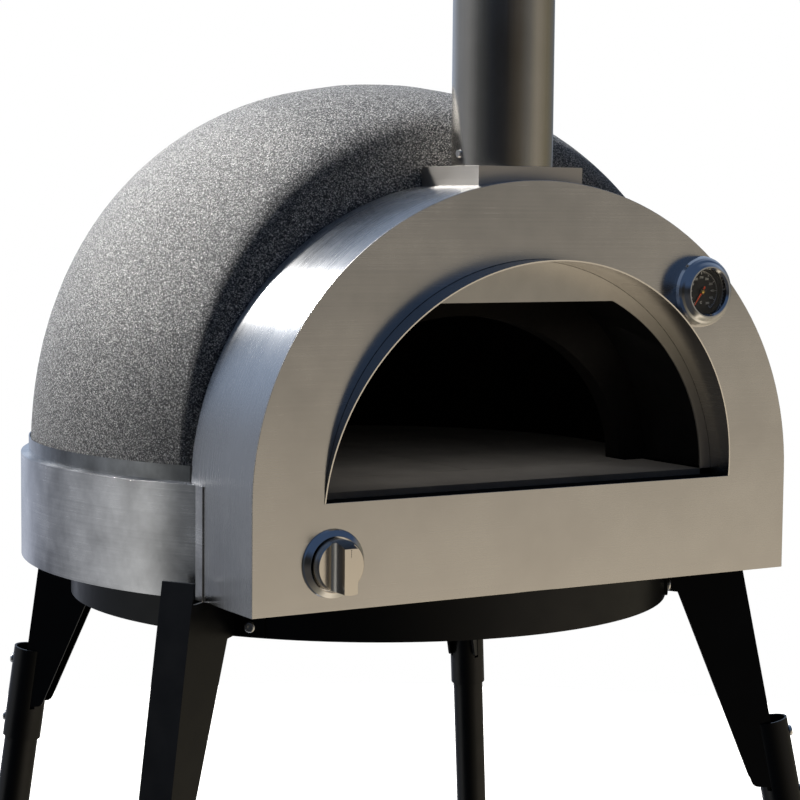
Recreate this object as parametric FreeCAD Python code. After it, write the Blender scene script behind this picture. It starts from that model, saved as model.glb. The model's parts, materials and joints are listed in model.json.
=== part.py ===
import FreeCAD, Part
import math
import os

Vector = FreeCAD.Vector
os.makedirs("parts", exist_ok=True)

# Dome oven on a four-legged stand, in millimetres. The origin is on the floor under the
# middle of the oven, +Z is up and the mouth faces -Y.

X_AXIS = Vector(1, 0, 0)
Y_AXIS = Vector(0, 1, 0)
Z_AXIS = Vector(0, 0, 1)
SHEET = 1.5                 # stainless sheet of the hood, ring and flue
PLATE = 3.0                 # steel plate of the stand
GAP = 0.5                   # assembly gap between neighbouring pieces

# Base
RING_TOP = 1010.0
RING_RADIUS = 430.0
RING_HEIGHT = 124.0
RING_BOTTOM = RING_TOP - RING_HEIGHT
LEDGE = 16.0                # top and bottom folds of the ring
RING_LAP = 16.0             # flat ends of the ring over the hood's sides
PAN_RADIUS = 370.0
PAN_HEIGHT = 49.0
STRIP_RADIUS = 420.5        # polished band between the ring and the dome
STRIP_HEIGHT = 19.0
FLOOR_PLATE_BOTTOM = RING_BOTTOM + 2.1
FLOOR_PLATE_TOP = FLOOR_PLATE_BOTTOM + PLATE

# Hood
HOOD_FRONT = -369.0
HOOD_BACK = -225.0
HOOD_HALF_WIDTH = 355.0
HOOD_RISE = 335.7           # arch height above its springing line
HOOD_SPRING = RING_TOP - 6.5
HOOD_CROWN = HOOD_SPRING + HOOD_RISE
PANEL = 2.0                 # thickness of the front panel

# Opening in the hood and the throat behind it
MOUTH_HALF_WIDTH = 271.0
MOUTH_RISE = 263.0
MOUTH_SPRING = RING_TOP - 19.5
MOUTH_SILL = RING_TOP - 10.0
LIP_TOP_REACH = 36.8        # how far the throat's lip stands out at the crown
INNER_PLATE_FRONT = -337.6
INNER_PLATE_BACK = INNER_PLATE_FRONT + PANEL
INNER_HALF_WIDTH = 252.5    # opening in the inner face plate
INNER_RISE = 222.0
INNER_FLAT_TOP = RING_TOP + 195.0

# Chamber
HEARTH_TOP = RING_TOP - 4.0
HEARTH_THICKNESS = 42.0
HEARTH_BOTTOM = HEARTH_TOP - HEARTH_THICKNESS
CHAMBER_RADIUS = 330.0
CHAMBER_HEIGHT = 300.0
CHAMBER_FRONT = -185.0
CORE_WALL = 45.0
DOOR_HALF_WIDTH = 228.0     # arch in the chamber's front wall
DOOR_RISE = 178.0
FLOOR_INSULATION_RADIUS = 398.0

# Dome outside
DOME_RADIUS = 418.2
DOME_HEIGHT = 457.0
DOME_BASE = RING_TOP - 8.7  # centre height of the dome's curve
DOME_POWER = 2.17           # superellipse exponent of the dome's curve
DOME_FRONT = HOOD_BACK + GAP
RENDER_THICKNESS = 12.0
SHOULDER_SIDE = 30.0        # rounding of the dome's front edge at the base
SHOULDER_CROWN = 78.0       # and at the crown

# Chimney
FLUE_Y = -287.0
FLUE_RADIUS = 57.0
FLUE_HEIGHT = 480.0
FLANGE_WIDTH = 138.0
FLANGE_DEPTH = 117.0
FLANGE_TOP = HOOD_CROWN + 15.2
FLUE_TOP = FLANGE_TOP + FLUE_HEIGHT
COLLAR_RADIUS = FLUE_RADIUS - SHEET - GAP
CAP_RADIUS = 98.0
CAP_RISE = 42.0
CAP_GAP = 55.0              # clear height between the pipe and its rain cap
STRAP_WIDTH = 16.0
STRAP_DROP = 40.0           # how far the cap's straps reach down the pipe

# Thermometer on the hood's front
GAUGE_X = 215.0
GAUGE_Z = RING_TOP + 206.0
GAUGE_BASE_RADIUS = 41.0
GAUGE_FACE_RADIUS = 31.0    # rim round the window
GAUGE_DEPTH = 26.5
GAUGE_WINDOW = 25.5
GAUGE_STEM_RADIUS = 4.0
GAUGE_STEM_LENGTH = 60.0
DIAL_RADIUS = GAUGE_WINDOW + 1.5
NEEDLE_PIN_RADIUS = 1.2
NEEDLE_REST_DEG = 215.0     # clockwise from the top, seen from the front

# Gas control
KNOB_X = -260.0
KNOB_Z = RING_TOP - 74.0
KNOB_BEZEL_RADIUS = 37.0
KNOB_RADIUS = 28.0
KNOB_STANDOFF = 4.0
KNOB_FACE_REACH = 18.0      # the knob's round face stands this far out of the hood
KNOB_GRIP_REACH = 38.5      # and its grip bar this far
KNOB_BORE_REACH = 20.0      # closed end of the spindle's bore
KNOB_TRAVEL = 3.0
SPINDLE_RADIUS = 4.0
RUNNING_CLEARANCE = 0.05
VALVE_FRONT = -346.0
VALVE_BACK = -306.0
THRUST_COLLAR_FRONT = HOOD_FRONT + PANEL + 3.0
THRUST_COLLAR_BACK = THRUST_COLLAR_FRONT + 6.0
SPRING_RADIUS = 6.2
SPRING_WIRE = 0.6
SPRING_TURNS = 4
SPRING_POCKET = 7.6
PIPE_RADIUS = 5.0
INLET_PIPE_RADIUS = 414.0   # bend of the gas pipe inside the ring
INLET_PIPE_Z = FLOOR_PLATE_TOP + 14.0
INLET_DEG = -165.0          # place of the gas inlet, from the front, negative to the left
NIPPLE_RADIUS = 7.5
NIPPLE_END = RING_RADIUS + 26.0
FEED_RISE_Y = -70.0         # where the gas feed turns up into the chamber
BURNER_Z = HEARTH_TOP + 24.0
BURNER_RADIUS = 14.0
BURNER_START = -105.0
BURNER_END = 135.0

# Legs
WEB_WIDTH = 40.0            # outer width of a leg bracket
SLEEVE_RADIUS = 24.15
SLEEVE_BORE = 21.5
SLEEVE_LENGTH = 118.0
TUBE_RADIUS = 21.2
TUBE_WALL = 2.0
BOLT_DROPS = (19.0, 96.0)   # bolts below the sleeve's top
BOLT_RADIUS = 3.0
BOLT_HEAD_RADIUS = 6.5
BOLT_HEAD_HEIGHT = 3.6
SOCKET_RADIUS = 2.2         # hexagon socket in a bolt's head
TAB_ANGLE_DEG = 6.1         # pan bolts each side of a leg
TAB_BOLT_Z = RING_BOTTOM - 36.5
FOOT_RADIUS = 25.0
FOOT_SOLE = 14.0            # rubber under the lower end of a leg tube


class Leg:
    """Place and lean of one leg. The angle is from the front, positive to the right; the
    radius is where its centre line crosses the ring's lower edge; the slope is its
    outward run per unit of drop. The bracket starts at web_top, enters the sleeve at
    sleeve_top and ends at bracket_end; the inner edge of its cheeks runs from
    cheek_radius under the pan to a tip of the given width."""

    def __init__(self, place, angle, radius, slope, web_top, sleeve_top, bracket_end,
                 cheek_radius, tip_width):
        self.place = place
        self.angle = angle
        self.radius = radius
        self.slope = slope
        self.web_top = web_top
        self.sleeve_top = sleeve_top
        self.bracket_end = bracket_end
        self.cheek_radius = cheek_radius
        self.tip_width = tip_width
        self.lean_deg = math.degrees(math.atan(slope))

    def reach(self, z):
        """Distance of the centre line from the oven's axis at a height."""
        return self.radius + self.slope * (RING_BOTTOM - z)

    def length(self, drop):
        """Length along the leg for a drop in height."""
        return drop / math.cos(math.radians(self.lean_deg))

    def hang(self, shape):
        """Places a shape built from the origin down -Z along the leg below the sleeve's top."""
        placed = shape.copy()
        placed.rotate(Vector(0, 0, 0), Y_AXIS, -self.lean_deg)
        placed.translate(Vector(self.reach(self.sleeve_top), 0, self.sleeve_top))
        return placed


def front_leg(place, angle):
    return Leg(place, angle, 459.4, 0.205, RING_BOTTOM + 22, RING_TOP - 336, RING_TOP - 418,
               386, 35)


def back_leg(place, angle):
    return Leg(place, angle, 419.9, 0.144, RING_BOTTOM - GAP, RING_TOP - 272, RING_TOP - 346,
               348, 27)


LEGS = (front_leg("front_left", -56.8), front_leg("front_right", 56.8),
        back_leg("back_left", -130.9), back_leg("back_right", 130.9))


# ---- shapes used by several parts ----

def box(x0, x1, y0, y1, z0, z1):
    return Part.makeBox(x1 - x0, y1 - y0, z1 - z0, Vector(x0, y0, z0))


def disc(radius, z0, z1):
    return Part.makeCylinder(radius, z1 - z0, Vector(0, 0, z0))


def band(outer, inner, z0, z1):
    return disc(outer, z0, z1).cut(disc(inner, z0 - 1, z1 + 1))


def rod_y(radius, x, z, y0, y1):
    return Part.makeCylinder(radius, y1 - y0, Vector(x, y0, z), Y_AXIS)


def arch(half_width, rise, spring, bottom, y0, y1):
    """Prism along Y whose outline is half an ellipse, on straight sides where the
    bottom lies below the springing line."""
    centre = Vector(0, y0, spring)
    ellipse = Part.Ellipse(centre + X_AXIS * half_width, centre + Z_AXIS * rise, centre)
    start = math.asin(max(bottom - spring, 0.0) / rise)
    arc = Part.ArcOfEllipse(ellipse, start, math.pi - start).toShape()
    right = arc.valueAt(arc.FirstParameter)
    left = arc.valueAt(arc.LastParameter)
    if bottom < spring:
        corners = [left, Vector(left.x, y0, bottom), Vector(right.x, y0, bottom), right]
    else:
        corners = [left, right]
    wire = Part.Wire([arc] + Part.makePolygon(corners).Edges)
    return Part.Face(wire).extrude(Y_AXIS * (y1 - y0))


def turned_y(points, x, z):
    """Solid turned about a Y axis through (x, z) from (radius, y) points."""
    path = [Vector(x + radius, y, z) for radius, y in points]
    face = Part.Face(Part.makePolygon(path + [path[0]]))
    return face.revolve(Vector(x, 0, z), Y_AXIS, 360)


def round_pipe(path, radius):
    start = path.Edges[0].valueAt(path.Edges[0].FirstParameter)
    tangent = path.Edges[0].tangentAt(path.Edges[0].FirstParameter)
    profile = Part.Wire([Part.makeCircle(radius, start, tangent)])
    return path.makePipeShell([profile], True, False)


def save(name, shape):
    shape = shape.removeSplitter()
    if not shape.isValid():
        print("invalid:", name)
    shape.exportStep("parts/" + name + ".step")


# ---- dome ----

def dome_curve(radius, height, base):
    """Superellipse quarter from the dome's base to its top, in the XZ plane."""
    steps = 12
    points = []
    for step in range(steps + 1):
        angle = math.pi / 2 * step / steps
        across = radius * math.cos(angle) ** (2 / DOME_POWER) if step < steps else 0.0
        points.append(Vector(across, 0, base + height * math.sin(angle) ** (2 / DOME_POWER)))
    curve = Part.BSplineCurve()
    curve.interpolate(Points=points, InitialTangent=Z_AXIS, FinalTangent=-X_AXIS)
    return curve.toShape()


def dome_solid(radius, height, base, bottom):
    """Dome on a short upright foot, cut off level at the bottom."""
    foot = min(base, bottom) - 10
    outline = Part.Wire([
        Part.makeLine(Vector(0, 0, foot), Vector(radius, 0, foot)),
        Part.makeLine(Vector(radius, 0, foot), Vector(radius, 0, base)),
        dome_curve(radius, height, base),
        Part.makeLine(Vector(0, 0, base + height), Vector(0, 0, foot)),
    ])
    dome = Part.Face(outline).revolve(Vector(0, 0, 0), Z_AXIS, 360)
    return above(dome, bottom)


def above(shape, z):
    return shape.common(box(-600, 600, -600, 600, z, 2000))


def behind(shape, y):
    """The part of a shape behind the plane at y."""
    return shape.common(box(-600, 600, y, 600, 0, 2000))


def shoulder_dome(radius, height, base, bottom, front, side_round, crown_round):
    """Dome cut off flat in front, its front edge rounded more at the crown than at the sides."""
    halves = []
    for side in (-1, 1):
        low, high = sorted((0, side * 600))
        half = dome_solid(radius, height, base, bottom).common(box(low, high, front, 600, 0, 2000))
        rim = [edge for edge in half.Edges if is_front_rim(edge, front)]
        start = rim[0].valueAt(rim[0].FirstParameter)
        if len(rim) == 1 and start.z < base + height / 2:
            radii = (side_round, crown_round)
        else:
            radii = (crown_round, side_round)
        halves.append(half.makeFillet(radii[0], radii[1], rim[:1]))
    return halves[0].fuse(halves[1]).removeSplitter()


def is_front_rim(edge, front):
    """The curved edge of the flat front, not its foot and not its middle line."""
    first, last = edge.FirstParameter, edge.LastParameter
    points = [edge.valueAt(first + (last - first) * part / 4) for part in range(5)]
    flat = all(abs(point.y - front) < 0.01 for point in points)
    return flat and abs(points[0].x - points[4].x) > 50 and abs(points[0].z - points[4].z) > 50


def dome_render():
    inner_radius = DOME_RADIUS - RENDER_THICKNESS
    inner_height = DOME_HEIGHT - RENDER_THICKNESS
    bottom = RING_TOP + GAP
    outer = shoulder_dome(DOME_RADIUS, DOME_HEIGHT, DOME_BASE, bottom, DOME_FRONT,
                          SHOULDER_SIDE, SHOULDER_CROWN)
    inner = shoulder_dome(inner_radius, inner_height, DOME_BASE, bottom - 5,
                          DOME_FRONT + RENDER_THICKNESS, SHOULDER_SIDE, SHOULDER_CROWN)
    doorway = arch(MOUTH_HALF_WIDTH + 4, MOUTH_RISE + 4, MOUTH_SPRING, bottom - 5,
                   DOME_FRONT - 5, DOME_FRONT + RENDER_THICKNESS + 5)
    return outer.cut(inner).cut(doorway)


def dome_insulation():
    blanket_radius = DOME_RADIUS - RENDER_THICKNESS - GAP
    blanket_height = DOME_HEIGHT - RENDER_THICKNESS - GAP
    front = DOME_FRONT + RENDER_THICKNESS + GAP
    upper = shoulder_dome(blanket_radius, blanket_height, DOME_BASE, RING_TOP + GAP, front,
                          SHOULDER_SIDE, SHOULDER_CROWN)
    lower = band(FLOOR_INSULATION_RADIUS, 100, HEARTH_BOTTOM, RING_TOP + GAP)
    blanket = upper.fuse(behind(lower, front))
    hollow = behind(core_outside(GAP), front - 5)
    doorway = arch(MOUTH_HALF_WIDTH + 4, MOUTH_RISE + 4, MOUTH_SPRING, HEARTH_BOTTOM - 5,
                   front - 5, CHAMBER_FRONT + 5)
    return blanket.cut(hollow).cut(doorway)


def core_outside(extra):
    return dome_solid(CHAMBER_RADIUS + CORE_WALL + extra, CHAMBER_HEIGHT + CORE_WALL + extra,
                      HEARTH_TOP, HEARTH_BOTTOM)


def dome_core():
    outside = behind(core_outside(0), DOME_FRONT + RENDER_THICKNESS + 2 * GAP)
    chamber = behind(dome_solid(CHAMBER_RADIUS, CHAMBER_HEIGHT, HEARTH_TOP, HEARTH_BOTTOM - 5),
                     CHAMBER_FRONT)
    doorway = arch(DOOR_HALF_WIDTH, DOOR_RISE, HEARTH_TOP, HEARTH_BOTTOM - 5, -400, -150)
    return outside.cut(chamber).cut(doorway)


# ---- base and hearth ----

def in_front_cut(shape):
    """Removes what would stand in front of the line where the ring meets the hood."""
    joint_y = -math.sqrt(RING_RADIUS ** 2 - HOOD_HALF_WIDTH ** 2)
    return behind(shape, joint_y + GAP)


def stand_pan():
    top = RING_BOTTOM
    bottom = top - PAN_HEIGHT
    wall = band(PAN_RADIUS, PAN_RADIUS - 2, bottom, top)
    pan = wall.fuse(disc(PAN_RADIUS, bottom, bottom + 2))
    return pan.cut(all_pan_bolts(0.2))


def base_plate():
    inside_panel = HOOD_FRONT + PANEL + GAP
    round_part = behind(disc(RING_RADIUS - SHEET - GAP, FLOOR_PLATE_BOTTOM, FLOOR_PLATE_TOP),
                        inside_panel)
    half_width = HOOD_HALF_WIDTH - SHEET - GAP
    hood_part = box(-half_width, half_width, inside_panel, 0, FLOOR_PLATE_BOTTOM, FLOOR_PLATE_TOP)
    sides = box(-half_width, half_width, inside_panel, -230, 0, 2000)
    return round_part.common(sides.fuse(box(-600, 600, -240, 600, 0, 2000))).fuse(hood_part)


def base_ring():
    wall = band(RING_RADIUS, RING_RADIUS - SHEET, RING_BOTTOM, RING_TOP)
    ledge = band(RING_RADIUS, RING_RADIUS - LEDGE, RING_TOP - SHEET, RING_TOP)
    foot = band(RING_RADIUS, RING_RADIUS - 2 * LEDGE, RING_BOTTOM, RING_BOTTOM + SHEET)
    nipple_hole = at_inlet(rod_out(NIPPLE_RADIUS + GAP, RING_RADIUS - 10, RING_RADIUS + 10))
    ring = in_front_cut(wall.fuse(ledge).fuse(foot)).cut(nipple_hole)
    for side in (-1, 1):
        ring = ring.fuse(ring_lap(side))
    return ring


def ring_lap(side):
    """Flat end of the ring's sheet, lapped forward over the hood's side."""
    near = HOOD_HALF_WIDTH + 0.2
    far = near + SHEET
    bend_y = -math.sqrt(RING_RADIUS ** 2 - far ** 2)
    lap = box(near, far, bend_y - RING_LAP, bend_y + 1, RING_BOTTOM, RING_TOP)
    return lap if side > 0 else lap.mirror(Vector(0, 0, 0), X_AXIS)


def dome_trim_strip():
    strip = band(STRIP_RADIUS, STRIP_RADIUS - SHEET, RING_TOP, RING_TOP + STRIP_HEIGHT)
    return behind(strip, DOME_FRONT)


def floor_insulation():
    slab = disc(FLOOR_INSULATION_RADIUS, FLOOR_PLATE_TOP, HEARTH_BOTTOM)
    main = behind(slab, VALVE_BACK + 16)
    tongue = box(-200, 200, INNER_PLATE_FRONT, 0, FLOOR_PLATE_TOP, HEARTH_BOTTOM)
    return main.fuse(tongue).cut(feed_route(PIPE_RADIUS + 1))


def hearth_outline():
    circle = behind(disc(CHAMBER_RADIUS - 1, HEARTH_BOTTOM, HEARTH_TOP), CHAMBER_FRONT + 1)
    doorway = box(1 - DOOR_HALF_WIDTH, DOOR_HALF_WIDTH - 1, DOME_FRONT, CHAMBER_FRONT + 2,
                  HEARTH_BOTTOM, HEARTH_TOP)
    return circle.fuse(doorway)


def hearth_stone(side):
    """Half of the chamber's floor, left (-1) or right (1), without the front stone."""
    low, high = sorted((side * GAP, side * 600))
    half = hearth_outline().common(box(low, high, DOME_FRONT + GAP, 600, 0, 2000))
    return half.cut(feed_route(PIPE_RADIUS + 1))


def hearth_stone_front():
    half_width = INNER_HALF_WIDTH + 2
    return box(-half_width, half_width, INNER_PLATE_BACK + GAP, DOME_FRONT - GAP,
               HEARTH_BOTTOM, HEARTH_TOP)


# ---- hood ----

def hood_outline(inset, y0, y1):
    return arch(HOOD_HALF_WIDTH - inset, HOOD_RISE - inset, HOOD_SPRING, RING_BOTTOM - 1, y0, y1)


def hood_front_panel():
    panel = above(hood_outline(0, HOOD_FRONT, HOOD_FRONT + PANEL), RING_BOTTOM)
    fold = box(-HOOD_HALF_WIDTH + 3, HOOD_HALF_WIDTH - 3, HOOD_FRONT, HOOD_FRONT + 20,
               RING_BOTTOM, RING_BOTTOM + PANEL)
    mouth = arch(MOUTH_HALF_WIDTH, MOUTH_RISE, MOUTH_SPRING, MOUTH_SILL,
                 HOOD_FRONT - 5, HOOD_FRONT + 5)
    gauge_hole = rod_y(GAUGE_STEM_RADIUS + GAP, GAUGE_X, GAUGE_Z, HOOD_FRONT - 5, HOOD_FRONT + 5)
    knob_hole = rod_y(SPINDLE_RADIUS + 2, KNOB_X, KNOB_Z, HOOD_FRONT - 5, HOOD_FRONT + 5)
    return panel.fuse(fold).cut(mouth).cut(gauge_hole).cut(knob_hole)


def hood_wrap():
    start = HOOD_FRONT + PANEL
    wrap = above(hood_outline(0, start, HOOD_BACK), RING_BOTTOM)
    inside = hood_outline(SHEET, start - 1, HOOD_BACK + 1)
    ring_space = disc(RING_RADIUS + GAP, RING_BOTTOM - 1, RING_TOP + GAP)
    flue_hole = Part.makeCylinder(COLLAR_RADIUS + GAP, 200, Vector(0, FLUE_Y, HOOD_CROWN - 100))
    return wrap.cut(inside).cut(ring_space).cut(flue_hole)


def mouth_arch(inset, bottom, y0, y1):
    return arch(MOUTH_HALF_WIDTH - inset, MOUTH_RISE - inset, MOUTH_SPRING, bottom, y0, y1)


def throat_band():
    """Rolled arch strip through the mouth; its front lip leans out towards the crown."""
    lip_front = HOOD_FRONT - LIP_TOP_REACH
    strip = mouth_arch(GAP / 2, MOUTH_SILL, lip_front - 5, INNER_PLATE_BACK)
    bore = mouth_arch(GAP / 2 + SHEET, MOUTH_SILL - 1, lip_front - 6, INNER_PLATE_BACK + 1)
    lean = LIP_TOP_REACH / MOUTH_RISE
    side = [Vector(-400, HOOD_FRONT, MOUTH_SILL - 2),
            Vector(-400, HOOD_FRONT - lean * 400, MOUTH_SILL + 398),
            Vector(-400, 0, MOUTH_SILL + 398),
            Vector(-400, 0, MOUTH_SILL - 2)]
    keep = Part.Face(Part.makePolygon(side + [side[0]])).extrude(X_AXIS * 800)
    return strip.cut(bore).common(keep)


def inner_face_plate():
    plate = mouth_arch(GAP + SHEET, HEARTH_TOP + GAP, INNER_PLATE_FRONT, INNER_PLATE_BACK)
    opening = arch(INNER_HALF_WIDTH, INNER_RISE, RING_TOP, HEARTH_TOP - 5,
                   INNER_PLATE_FRONT - 5, INNER_PLATE_BACK + 5)
    below_top = box(-400, 400, -600, 0, 0, INNER_FLAT_TOP)
    return plate.cut(opening.common(below_top))


def sill_trough():
    """Tray between the hood's front and the hearth, under the throat."""
    half_width = MOUTH_HALF_WIDTH - SHEET - GAP
    front = HOOD_FRONT + PANEL + GAP
    back = INNER_PLATE_FRONT - GAP
    bottom = HEARTH_BOTTOM + 8
    tray = box(-half_width, half_width, front, back, bottom, MOUTH_SILL - GAP)
    hollow = box(SHEET - half_width, half_width - SHEET, front + SHEET, back - SHEET,
                 bottom + SHEET, MOUTH_SILL + 5)
    return tray.cut(hollow)


def smoke_duct():
    """Arched sheet lining from the inner face plate into the dome's front."""
    front = INNER_PLATE_BACK + GAP
    back = DOME_FRONT + RENDER_THICKNESS
    duct = mouth_arch(GAP / 2, HEARTH_TOP, front, back)
    bore = mouth_arch(GAP / 2 + SHEET, HEARTH_TOP - 1, front - 1, back + 1)
    outlet = Part.makeCylinder(COLLAR_RADIUS - SHEET, 300, Vector(0, FLUE_Y, HEARTH_TOP + 50))
    return duct.cut(bore).cut(outlet)


def flue_collar():
    """Tube from the smoke duct through the hood's crown into the chimney pipe."""
    bottom = MOUTH_SPRING + MOUTH_RISE - 20
    top = FLANGE_TOP + 30
    tube = Part.makeCylinder(COLLAR_RADIUS, top - bottom, Vector(0, FLUE_Y, bottom))
    bore = Part.makeCylinder(COLLAR_RADIUS - SHEET, top - bottom + 2,
                             Vector(0, FLUE_Y, bottom - 1))
    screw_holes = Part.makeCompound([flue_screw(side, 0.1) for side in (-1, 1)])
    return tube.cut(bore).cut(mouth_arch(0, HEARTH_TOP, HOOD_FRONT, HOOD_BACK)).cut(screw_holes)


# ---- chimney ----

def chimney_flange():
    half_width = FLANGE_WIDTH / 2
    half_depth = FLANGE_DEPTH / 2
    low = HOOD_CROWN - 30
    case = box(-half_width, half_width, FLUE_Y - half_depth, FLUE_Y + half_depth, low, FLANGE_TOP)
    inside = box(SHEET - half_width, half_width - SHEET, FLUE_Y - half_depth + SHEET,
                 FLUE_Y + half_depth - SHEET, low - 1, FLANGE_TOP - SHEET)
    seat = Part.makeCylinder(FLUE_RADIUS + GAP / 2, 100, Vector(0, FLUE_Y, FLANGE_TOP - 50))
    return case.cut(inside).cut(seat).cut(hood_outline(0, -600, 0))


def chimney_pipe():
    bottom = FLANGE_TOP - 8
    height = FLUE_HEIGHT + 8
    pipe = Part.makeCylinder(FLUE_RADIUS, height, Vector(0, FLUE_Y, bottom))
    bore = Part.makeCylinder(FLUE_RADIUS - SHEET, height + 2, Vector(0, FLUE_Y, bottom - 1))
    holes = Part.makeCompound([flue_screw(side, 0.1) for side in (-1, 1)])
    strap_holes = Part.makeCompound([at_strap(turn, strap_rivet(0.1)) for turn in range(3)])
    return pipe.cut(bore).cut(holes).cut(strap_holes)


def flue_screw(side, extra):
    """Button-headed screw that holds the pipe, on its left (-1) or right (1) side."""
    centre = Vector(0, FLUE_Y, FLANGE_TOP + 14)
    outward = X_AXIS * side
    shank = Part.makeCylinder(2 + extra, 4, centre + outward * (FLUE_RADIUS - 3), outward)
    head = Part.makeCylinder(4, 2, centre + outward * FLUE_RADIUS, outward)
    return shank if extra else shank.fuse(head)


def flue_screws():
    return Part.makeCompound([flue_screw(side, 0) for side in (-1, 1)])


def at_strap(turn, shape):
    placed = shape.copy()
    placed.rotate(Vector(0, 0, 0), Z_AXIS, 60 + 120 * turn)
    placed.translate(Vector(0, FLUE_Y, 0))
    return placed


def strap_rivet(extra):
    start = Vector(FLUE_RADIUS - 3, 0, FLUE_TOP - STRAP_DROP / 2)
    shank = Part.makeCylinder(2 + extra, 6, start, X_AXIS)
    head = Part.makeCylinder(4, 1.5, start + X_AXIS * 5, X_AXIS)
    return shank if extra else shank.fuse(head)


def cap_cone(low_drop, high_drop):
    """Cone layer of the rain cap between two drops below its outer surface."""
    base = FLUE_TOP + CAP_GAP
    outline = [(0, CAP_RISE - high_drop), (CAP_RADIUS, -high_drop),
               (CAP_RADIUS, -low_drop), (0, CAP_RISE - low_drop)]
    points = [Vector(radius, 0, base + height) for radius, height in outline]
    face = Part.Face(Part.makePolygon(points + [points[0]]))
    return face.revolve(Vector(0, 0, 0), Z_AXIS, 360)


def cap_strap():
    """Flat strap from the pipe's side up to a tab bent along the cap's underside."""
    outer = FLUE_RADIUS + 2
    top = FLUE_TOP + CAP_GAP + CAP_RISE
    upright = box(FLUE_RADIUS - 5, outer, -STRAP_WIDTH / 2, STRAP_WIDTH / 2,
                  FLUE_TOP - STRAP_DROP, top)
    core = Part.makeCylinder(FLUE_RADIUS + 0.05, 900, Vector(0, 0, FLUE_TOP - 400))
    tab = box(FLUE_RADIUS - 16, outer, -STRAP_WIDTH / 2, STRAP_WIDTH / 2, 0, top)
    bent = tab.common(cap_cone(4, 2))
    strap = upright.cut(core).cut(cap_cone(2, -CAP_RISE * 3)).fuse(bent)
    return strap.cut(strap_rivet(0.1))


def cap_straps():
    return Part.makeCompound([at_strap(turn, cap_strap()) for turn in range(3)])


def cap_rivets():
    return Part.makeCompound([at_strap(turn, strap_rivet(0)) for turn in range(3)])


def rain_cap():
    """Shallow sheet cone with a turned-down rim, carried by the straps."""
    base = FLUE_TOP + CAP_GAP
    cap = cap_cone(2, 0).fuse(band(CAP_RADIUS, CAP_RADIUS - 2, base - 10, base))
    cap.translate(Vector(0, FLUE_Y, 0))
    return cap


# ---- thermometer ----

def gauge_turned(points):
    """Turned gauge piece; points are (radius, distance in front of the hood)."""
    return turned_y([(radius, HOOD_FRONT - reach) for radius, reach in points],
                    GAUGE_X, GAUGE_Z)


def thermometer_bezel():
    """Bulged case with a raised rim round the window, hollow for the dial."""
    bulge = [(GAUGE_FACE_RADIUS + 10.0 * math.cos(math.radians(angle)),
              6.0 + 16.0 * math.sin(math.radians(angle))) for angle in range(0, 76, 15)]
    shell = gauge_turned([(0, 0), (GAUGE_BASE_RADIUS, 0)] + bulge
                         + [(GAUGE_FACE_RADIUS, GAUGE_DEPTH - 2), (GAUGE_FACE_RADIUS - 2, GAUGE_DEPTH),
                            (GAUGE_WINDOW + 2, GAUGE_DEPTH), (GAUGE_WINDOW, GAUGE_DEPTH - 2.5),
                            (0, GAUGE_DEPTH - 2.5)])
    window = gauge_turned([(0, GAUGE_DEPTH - 7), (GAUGE_WINDOW, GAUGE_DEPTH - 7),
                           (GAUGE_WINDOW, GAUGE_DEPTH + 1), (0, GAUGE_DEPTH + 1)])
    hollow = gauge_turned([(0, 2), (DIAL_RADIUS + 0.2, 2), (DIAL_RADIUS + 0.2, GAUGE_DEPTH - 4),
                           (0, GAUGE_DEPTH - 4)])
    stem_hole = gauge_turned([(0, -1), (GAUGE_STEM_RADIUS + 0.1, -1),
                              (GAUGE_STEM_RADIUS + 0.1, 3), (0, 3)])
    return shell.cut(window).cut(hollow).cut(stem_hole)


def thermometer_dial():
    plate = gauge_turned([(0, 9), (DIAL_RADIUS, 9), (DIAL_RADIUS, 10), (0, 10)])
    hole = rod_y(NEEDLE_PIN_RADIUS + RUNNING_CLEARANCE, GAUGE_X, GAUGE_Z,
                 HOOD_FRONT - 12, HOOD_FRONT - 8)
    return plate.cut(hole)


def thermometer_glass():
    back = GAUGE_DEPTH - 6
    return gauge_turned([(0, back), (DIAL_RADIUS, back), (DIAL_RADIUS, back + 1.8),
                         (0, back + 1.8)])


def thermometer_needle():
    """Pointer, counterweight and pin in one piece, at its rest angle."""
    back = HOOD_FRONT - 11.5
    front = back - 0.6
    blade = Part.Face(Part.makePolygon([
        Vector(GAUGE_X - 1.3, front, GAUGE_Z), Vector(GAUGE_X - 0.35, front, GAUGE_Z + 19),
        Vector(GAUGE_X + 0.35, front, GAUGE_Z + 19), Vector(GAUGE_X + 1.3, front, GAUGE_Z),
        Vector(GAUGE_X + 1.0, front, GAUGE_Z - 7), Vector(GAUGE_X - 1.0, front, GAUGE_Z - 7),
        Vector(GAUGE_X - 1.3, front, GAUGE_Z)])).extrude(Y_AXIS * (back - front))
    hub = rod_y(2.6, GAUGE_X, GAUGE_Z, front - 1.2, back)
    pin = rod_y(NEEDLE_PIN_RADIUS, GAUGE_X, GAUGE_Z, back, HOOD_FRONT - 7.5)
    needle = blade.fuse(hub).fuse(pin)
    needle.rotate(Vector(GAUGE_X, 0, GAUGE_Z), Y_AXIS, NEEDLE_REST_DEG)
    return needle


def thermometer_stem():
    """Sensing stem, from the gauge's back through the hood."""
    tip = HOOD_FRONT + GAUGE_STEM_LENGTH
    return rod_y(GAUGE_STEM_RADIUS, GAUGE_X, GAUGE_Z, HOOD_FRONT - 4, tip)


def thermometer_nut():
    back = HOOD_FRONT + PANEL
    nut = hexagon(8.0, 5.0)
    nut.rotate(Vector(0, 0, 0), X_AXIS, -90)
    nut.translate(Vector(GAUGE_X, back, GAUGE_Z))
    return nut.cut(rod_y(GAUGE_STEM_RADIUS + 0.02, GAUGE_X, GAUGE_Z, back - 1, back + 10))


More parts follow.
